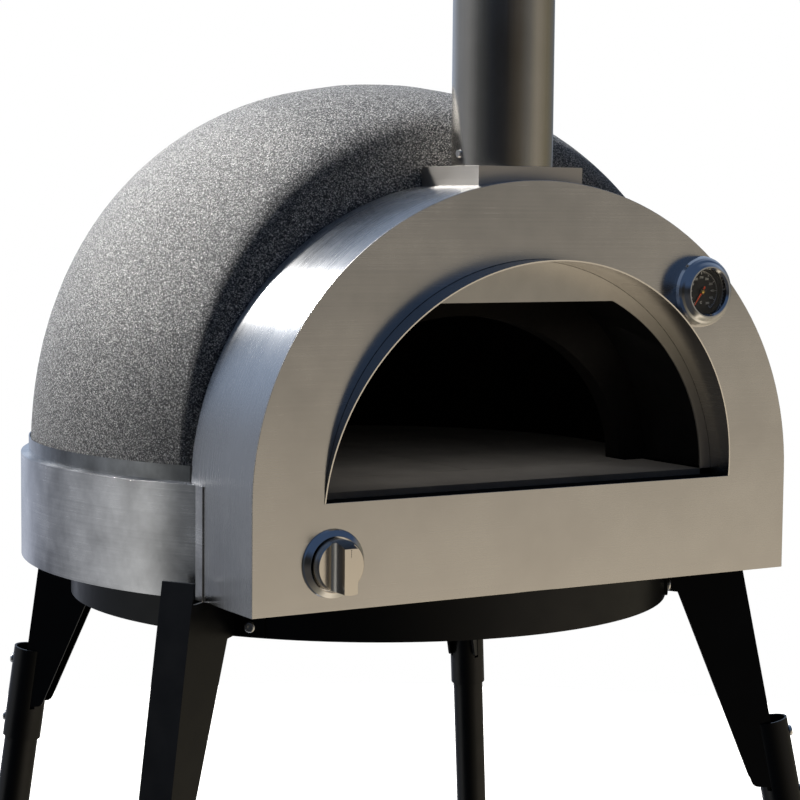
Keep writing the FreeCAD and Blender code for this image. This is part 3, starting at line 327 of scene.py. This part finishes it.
MATERIALS = {
    "brushed_stainless": lambda: brushed_steel("brushed_stainless", grain_level,
                                               (0.60, 0.60, 0.61), 0.30),
    "ring": lambda: brushed_steel("brushed_ring", grain_around_ring, (0.68, 0.68, 0.69), 0.23,
                                  "Z", 0.6, streak=0.10, smudge_and_painted_reflection=0.26, relief=0.2,
                                  cloud_scale=15.0),
    "wrap": lambda: brushed_steel("brushed_wrap", grain_along_hood, (0.62, 0.63, 0.65), 0.27,
                                  "Y", 0.85, streak=0.09, smudge_and_painted_reflection=0.10, relief=0.2),
    "hood_face_stainless": lambda: brushed_steel("hood_face_stainless", grain_level,
                                                 (0.61, 0.593, 0.575), 0.24, "Z", 0.5,
                                                 streak=0.03, smudge_and_painted_reflection=0.10),
    "flue_stainless": lambda: brushed_steel("flue_stainless", grain_upright,
                                            (0.58, 0.55, 0.50), 0.20),
    "polished_stainless": lambda: plain_metal("polished_stainless", (0.72, 0.72, 0.73), 0.10),
    "flange": lambda: brushed_steel("brushed_flange", grain_level, (0.50, 0.475, 0.445), 0.43,
                                    "Z", 0.5),
    # The trim strip's strong clouds of tone are painted reflection: dark and bright patches
    # standing for what the polished steel mirrors.
    "strip": lambda: brushed_steel("polished_strip", grain_around_ring, (0.30, 0.31, 0.32),
                                   0.12, streak=0.02, smudge_and_painted_reflection=0.55, relief=0.0,
                                   cloud_scale=11.0),
    "fastener_stainless": lambda: plain_metal("fastener_stainless", (0.85, 0.85, 0.85), 0.34),
    "inner_face_steel": lambda: plain_metal("inner_face_steel", (0.60, 0.58, 0.55), 0.35),
    "knob_metal": lambda: brushed_steel("knob_metal", grain_upright, (0.80, 0.75, 0.68), 0.24,
                                        "Z", 0.5, streak=0.04),
    "valve_brass": lambda: plain_metal("valve_brass", (0.62, 0.42, 0.16), 0.3),
    "gas_pipe": lambda: plain_metal("gas_pipe", (0.6, 0.6, 0.6), 0.35),
    "black_powder_coat": powder_coat,
    "dome_render": dome_render,
    "sooted_steel": lambda: mineral("sooted_steel", (0.006, 0.0055, 0.005),
                                    (0.020, 0.018, 0.017), 18, 0.7, 0.0003),
    "hearth_stone": lambda: mineral("hearth_stone", (0.46, 0.42, 0.37), (0.68, 0.63, 0.56),
                                    9, 0.85, 0.0006),
    "refractory": lambda: mineral("refractory", (0.006, 0.005, 0.004), (0.022, 0.018, 0.015),
                                  12, 0.9, 0.001),
    "insulation": lambda: mineral("insulation", (0.60, 0.58, 0.53), (0.80, 0.78, 0.72),
                                  30, 0.95, 0.002),
    "foot_rubber": lambda: plain_coat("foot_rubber", (0.02, 0.02, 0.02), 0.7),
    "dial_black": lambda: plain_coat("dial_black", (0.010, 0.010, 0.011), 0.5),
    "needle_red": lambda: plain_metal("needle_red", (0.95, 0.13, 0.05), 0.4),
    "igniter_ceramic": lambda: plain_coat("igniter_ceramic", (0.75, 0.73, 0.68), 0.3),
    "gauge_glass": clear_glass,
}
# Nodes whose finish is shaped to the part, over the record's material slot.
SPECIAL = {"base_ring": "ring", "hood_wrap": "wrap", "dome_trim_strip": "strip",
           "chimney_flange": "flange"}
made_materials = {}


def material(name):
    if name not in made_materials:
        made_materials[name] = MATERIALS[name]()
    return made_materials[name]


def dress_nodes():
    """Gives every CAD node its material."""
    for part in frame["record"]["subparts"]:
        node = nodes[part["node"]]
        chosen = material(SPECIAL.get(part["node"], part["material_slot"]))
        if not node.material_slots:
            node.data.materials.append(chosen)
        for slot in node.material_slots:
            slot.material = chosen


# ---- pieces ----

def add_piece(name, mesh_data, body, finish):
    """New object that rides on a body and takes the finish it is given."""
    piece = bpy.data.objects.new(name, mesh_data)
    bpy.context.scene.collection.objects.link(piece)
    mesh_data.materials.clear()
    mesh_data.materials.append(finish)
    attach(piece, body)
    return piece


def from_bmesh(name, mesh, smooth=True):
    data = bpy.data.meshes.new(name)
    mesh.to_mesh(data)
    mesh.free()
    for face in data.polygons:
        face.use_smooth = smooth
    return data


MARK_THICKNESS = 0.00008


def thicken(piece):
    """Turns flat printed or punched marks into thin closed solids."""
    modifier = piece.modifiers.new("thickness", "SOLIDIFY")
    modifier.thickness = MARK_THICKNESS
    modifier.offset = 0.0


SHARP_EDGE = math.radians(28)       # edges sharper than this are rounded
KEPT_SHARP = math.radians(35)       # edges sharper than this stay crisp in the shading
LEGS = ("front_left", "front_right", "back_left", "back_right")
EDGE_WIDTHS = {"hood_front_panel": 0.0007, "chimney_flange": 0.0005, "base_ring": 0.0005,
               "control_knob": 0.0007, **{"leg_bracket_" + leg: 0.0009 for leg in LEGS}}


def body_of(node):
    bodies = frame["record"]["behaviour"]["bodies"]
    return next(name for name, members in bodies.items() if node in members)


def slot_of(node):
    return next(part["material_slot"] for part in frame["record"]["subparts"]
                if part["node"] == node)


def add_softened(node, width):
    """Copy of a sheet-metal node with its sharp edges rounded, shown in the node's place."""
    mesh = bmesh.new()
    mesh.from_mesh(nodes[node].data)
    bmesh.ops.remove_doubles(mesh, verts=mesh.verts, dist=1e-6)
    bmesh.ops.dissolve_limit(mesh, angle_limit=math.radians(0.4), verts=mesh.verts,
                             edges=mesh.edges)
    sharp = [edge for edge in mesh.edges
             if len(edge.link_faces) == 2 and edge.calc_face_angle(0) > SHARP_EDGE]
    bmesh.ops.bevel(mesh, geom=sharp, offset=width, offset_type="OFFSET", segments=2,
                    profile=0.5, affect="EDGES", clamp_overlap=True)
    bmesh.ops.recalc_face_normals(mesh, faces=mesh.faces)
    data = from_bmesh(node + "_soft", mesh)
    data.set_sharp_from_angle(angle=KEPT_SHARP)
    slot = slot_of(node)
    piece = add_piece(node + "_soft", data, body_of(node),
                      material(SPECIAL.get(node, slot)))
    modifier = piece.modifiers.new("weighted", "WEIGHTED_NORMAL")
    modifier.keep_sharp = True
    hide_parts(node)


DIAL_START = math.radians(215)      # clockwise from the top, where the pointer rests
DIAL_SWEEP = math.radians(290)
DIAL_NUMBERS = 10                   # from 0 in steps of 50
TICKS_PER_NUMBER = 5
TICK_OUTER = 0.0228
TICK_INNER = 0.0212
LARGE_TICK_INNER = 0.0196
ARC_OUTER = 0.0233
ARC_PARTS = 96
TICK_HALF_WIDTH = 0.0002
LARGE_TICK_HALF_WIDTH = 0.00042
UNIT_RADIUS = 0.0125
UNIT_SIZE = 0.0042
NUMBER_RADIUS = 0.0163
NUMBER_SIZE = 0.0037


def dial_point(angle, radius, y):
    return Vector((GAUGE.x + radius * math.sin(angle), y, GAUGE.z + radius * math.cos(angle)))


def add_tick(mesh, angle, inner, outer, half_width, y):
    along = (dial_point(angle, 1, 0) - dial_point(angle, 0, 0)).normalized()
    across = along.cross(Vector((0, 1, 0)))
    corners = []
    for radius, side in ((inner, -1), (inner, 1), (outer, 1), (outer, -1)):
        corners.append(mesh.verts.new(dial_point(angle, radius, y) + across * half_width * side))
    mesh.faces.new(corners)


def add_number(mesh, text, angle, radius, size, y):
    """Flat upright text whose middle lies on the dial at angle and radius."""
    curve = bpy.data.curves.new("number", "FONT")
    curve.body = text
    curve.size = size
    curve.align_x = "CENTER"
    curve.align_y = "CENTER"
    holder = bpy.data.objects.new("number", curve)
    flat = bpy.data.meshes.new_from_object(holder)
    stand = Matrix.Translation(dial_point(angle, radius, y)) @ Matrix.Rotation(math.pi / 2, 4, "X")
    flat.transform(stand)
    mesh.from_mesh(flat)
    bpy.data.objects.remove(holder)
    bpy.data.curves.remove(curve)
    bpy.data.meshes.remove(flat)


def add_arc(mesh, inner, outer, y):
    turns = [DIAL_START + DIAL_SWEEP * part / ARC_PARTS for part in range(ARC_PARTS + 1)]
    for first, second in zip(turns, turns[1:]):
        corners = [(first, inner), (second, inner), (second, outer), (first, outer)]
        mesh.faces.new([mesh.verts.new(dial_point(angle, radius, y)) for angle, radius in corners])


def add_dial_marks():
    """Printed scale: an arc, small and large ticks and plain numbers."""
    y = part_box("thermometer_dial")[0].y - MARK_THICKNESS / 2
    mesh = bmesh.new()
    steps = DIAL_NUMBERS * TICKS_PER_NUMBER
    for step in range(steps + 1):
        angle = DIAL_START + DIAL_SWEEP * step / steps
        if step % TICKS_PER_NUMBER:
            add_tick(mesh, angle, TICK_INNER, TICK_OUTER, TICK_HALF_WIDTH, y)
        else:
            add_tick(mesh, angle, LARGE_TICK_INNER, TICK_OUTER, LARGE_TICK_HALF_WIDTH, y)
            add_number(mesh, str(step * 10), angle, NUMBER_RADIUS, NUMBER_SIZE, y)
    add_arc(mesh, TICK_OUTER, ARC_OUTER, y)
    add_number(mesh, "C", math.pi, UNIT_RADIUS, UNIT_SIZE, y)
    print_finish = plain_metal("dial_print", (1.0, 1.0, 0.98), 0.40)
    thicken(add_piece("dial_marks", from_bmesh("dial_marks", mesh, False), "oven",
                      print_finish))


SPOKES = 40                         # around the needle's hub


def turned(name, profile, centre):
    """Mesh turned about the Y axis through centre from (radius, y) points."""
    mesh = bmesh.new()
    previous = None
    for radius, y in profile:
        ring = []
        for part in range(SPOKES):
            angle = 2 * math.pi * part / SPOKES
            ring.append(mesh.verts.new((centre.x + radius * math.cos(angle), y,
                                        centre.z + radius * math.sin(angle))))
        if previous:
            for part in range(SPOKES):
                after = (part + 1) % SPOKES
                mesh.faces.new((previous[part], previous[after], ring[after], ring[part]))
        else:
            mesh.faces.new(ring)
        previous = ring
    mesh.faces.new(list(reversed(previous)))
    bmesh.ops.recalc_face_normals(mesh, faces=mesh.faces)
    return from_bmesh(name, mesh)


def add_needle_hub():
    """Domed button over the middle of the needle."""
    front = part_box("thermometer_needle")[0].y
    profile = [(0.0030, front + 0.0009), (0.0030, front - 0.0001), (0.0026, front - 0.0007),
               (0.0016, front - 0.0011), (0.0004, front - 0.0012)]
    add_piece("needle_hub", turned("needle_hub", profile, GAUGE), "pointer",
              plain_metal("hub_yellow", (0.95, 0.62, 0.15), 0.35))


DOT_COUNT = 4
DOT_PITCH = 0.0022
DOT_RADIUS = 0.0006
TOP_DOT_ABOVE_CENTRE = 0.0195


def add_knob_mark():
    """Row of small punched dots down the top of the grip."""
    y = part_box("control_knob")[0].y - MARK_THICKNESS / 2
    mesh = bmesh.new()
    turns = [math.radians(30 * part) for part in range(12)]
    for dot in range(DOT_COUNT):
        centre = Vector((KNOB.x, y, KNOB.z + TOP_DOT_ABOVE_CENTRE - DOT_PITCH * dot))
        mesh.faces.new([mesh.verts.new(centre + DOT_RADIUS * Vector((math.cos(turn), 0,
                                                                     math.sin(turn))))
                        for turn in turns])
    thicken(add_piece("knob_mark", from_bmesh("knob_mark", mesh, False), "gas_knob",
                      plain_coat("mark_dark", (0.05, 0.045, 0.04), 0.6)))


# ---- stage, light and camera ----

CAMERA_FROM_AXIS = Vector((-1.3503, -2.3001, 0.2881))   # from the dome's axis at the ring's top
CAMERA_AZIMUTH = math.radians(31.211)
CAMERA_PITCH = math.radians(4.888)
CAMERA_ROLL = math.radians(0.56)
CAMERA_LENS = 96.48


def add_camera():
    """Camera left of the front, looking slightly down."""
    data = bpy.data.cameras.new("camera")
    data.lens = CAMERA_LENS
    data.sensor_width = 36
    data.clip_end = 100
    camera = bpy.data.objects.new("camera", data)
    bpy.context.scene.collection.objects.link(camera)
    forward = Vector((math.sin(CAMERA_AZIMUTH) * math.cos(CAMERA_PITCH),
                      math.cos(CAMERA_AZIMUTH) * math.cos(CAMERA_PITCH),
                      -math.sin(CAMERA_PITCH)))
    level = Vector((math.cos(CAMERA_AZIMUTH), -math.sin(CAMERA_AZIMUTH), 0))
    upward = level.cross(forward)
    right = level * math.cos(CAMERA_ROLL) + upward * math.sin(CAMERA_ROLL)
    upward = right.cross(forward)
    turn = Matrix((right, upward, -forward)).transposed()
    place = Vector((0, DOME_AXIS.y, RING_TOP)) + CAMERA_FROM_AXIS
    camera.matrix_world = Matrix.Translation(place) @ turn.to_4x4()
    bpy.context.scene.camera = camera


def add_floor():
    """Pale floor, left out of reflections so that the steel mirrors the world's ground."""
    bpy.ops.mesh.primitive_circle_add(vertices=96, radius=3.2, fill_type="NGON")
    floor = bpy.context.object
    floor.name = "floor"
    floor.visible_diffuse = False
    floor.visible_glossy = False
    g = Graph("floor_pale")
    tone = g.ramp(g.noise(g.place, 3.0, 3.0), (0.3, (0.93, 0.93, 0.93)), (0.7, (0.95, 0.95, 0.95)))
    floor.data.materials.append(g.finish(tone, 0.9, 0.0, Emission_Color=(1, 1, 1, 1),
                                         Emission_Strength=0.62))


# Light from the surroundings by compass angle: from the front, negative to the left.
GROUND = (
    (-180, (0.50, 0.52, 0.60)), (-165, (0.12, 0.125, 0.15)), (-150, (0.10, 0.105, 0.12)),
    (-128, (0.40, 0.41, 0.42)), (-104, (0.80, 0.80, 0.77)), (-92, (0.07, 0.075, 0.08)),
    (-70, (0.04, 0.045, 0.055)), (-30, (0.06, 0.055, 0.05)), (0, (0.28, 0.25, 0.19)),
    (28, (0.85, 0.74, 0.58)), (50, (0.90, 0.78, 0.60)), (80, (0.45, 0.40, 0.30)),
    (120, (0.20, 0.18, 0.14)), (180, (0.50, 0.52, 0.60)),
)
HORIZON = (
    (-180, (0.42, 0.48, 0.60)), (-155, (0.26, 0.28, 0.32)), (-120, (0.26, 0.27, 0.29)),
    (-90, (0.08, 0.085, 0.09)), (-60, (0.022, 0.024, 0.028)), (-28, (0.018, 0.018, 0.018)),
    (5, (0.08, 0.07, 0.055)), (25, (0.14, 0.14, 0.135)), (50, (0.32, 0.295, 0.25)),
    (85, (0.20, 0.18, 0.13)), (120, (0.14, 0.15, 0.16)), (150, (0.36, 0.44, 0.58)),
    (180, (0.42, 0.48, 0.60)),
)


GROUND_TO_HORIZON = (-0.23, -0.04)      # heights of the directions where one fades to the next
HORIZON_TO_SKY = (0.12, 0.36)
FRONT_SKY = (0.045, 0.075, 0.14)
BACK_SKY = (0.40, 0.49, 0.64)
DIFFUSE_SHARE = (0.24, 0.24, 0.24)      # of the surroundings, in the light on matte surfaces


def add_world():
    """White behind the oven; sunlit ground, a dim horizon and blue sky for everything else."""
    world = bpy.data.worlds.new("studio")
    bpy.context.scene.world = world
    g = Graph("studio", world)
    x, y, z = g.split(g.place)
    turn = g.math("ARCTAN2", x, g.math("MULTIPLY", y, -1.0))
    turn = g.math("ADD", g.math("DIVIDE", turn, 2 * math.pi), 0.5)
    ground = g.ramp(turn, *[(angle / 360 + 0.5, colour) for angle, colour in GROUND])
    horizon = g.ramp(turn, *[(angle / 360 + 0.5, colour) for angle, colour in HORIZON])
    low = g.mix(g.remap(z, *GROUND_TO_HORIZON, 0.0, 1.0), ground, horizon)
    back = g.remap(y, -0.2, 0.8, 0.0, 1.0)
    sky = g.mix(back, FRONT_SKY, BACK_SKY)
    light = g.mix(g.remap(z, *HORIZON_TO_SKY, 0.0, 1.0), low, sky)
    path = g.node("ShaderNodeLightPath").outputs
    dimmed = g.mix(path["Is Diffuse Ray"], (1, 1, 1), DIFFUSE_SHARE)
    light = g.mix(1.0, light, dimmed, "MULTIPLY")
    light = g.mix(path["Is Camera Ray"], light, (1.0, 1.0, 1.0))
    g.feed(g.tree.nodes["Background"].inputs["Color"], light)


SUN_FROM = (math.radians(-149), math.radians(43))     # compass angle and height
SUN_STRENGTH = 6.4
SUN_WIDTH = math.radians(7)


def add_sun():
    """Warm sun from behind the left shoulder of the dome."""
    data = bpy.data.lights.new("sun", "SUN")
    data.energy = SUN_STRENGTH
    data.color = (1.0, 0.97, 0.92)
    data.angle = SUN_WIDTH
    sun = bpy.data.objects.new("sun", data)
    angle, height = SUN_FROM
    towards = Vector((math.sin(angle) * math.cos(height), -math.cos(angle) * math.cos(height),
                      math.sin(height)))
    sun.rotation_euler = towards.to_track_quat("Z", "Y").to_euler()
    bpy.context.scene.collection.objects.link(sun)


def add_mouth_fill():
    """Weak soft light over the mouth for the hearth; nothing mirrors it."""
    data = bpy.data.lights.new("mouth_fill", "AREA")
    data.shape = "RECTANGLE"
    data.size = 0.40
    data.size_y = 0.06
    data.energy = 0.045
    fill = bpy.data.objects.new("mouth_fill", data)
    fill.location = (0, PANEL_HIGH.y + 0.07, RING_TOP + 0.15)
    aim = Vector((0, fill.location.y + 0.05, RING_TOP)) - fill.location
    fill.rotation_euler = aim.to_track_quat("-Z", "Y").to_euler()
    fill.visible_glossy = False
    fill.visible_camera = False
    bpy.context.scene.collection.objects.link(fill)


dress_nodes()
for node, width in EDGE_WIDTHS.items():
    add_softened(node, width)
add_dial_marks()
add_needle_hub()
add_knob_mark()
add_floor()
add_world()
add_sun()
add_mouth_fill()
add_camera()
bpy.context.scene.view_settings.view_transform = "Standard"
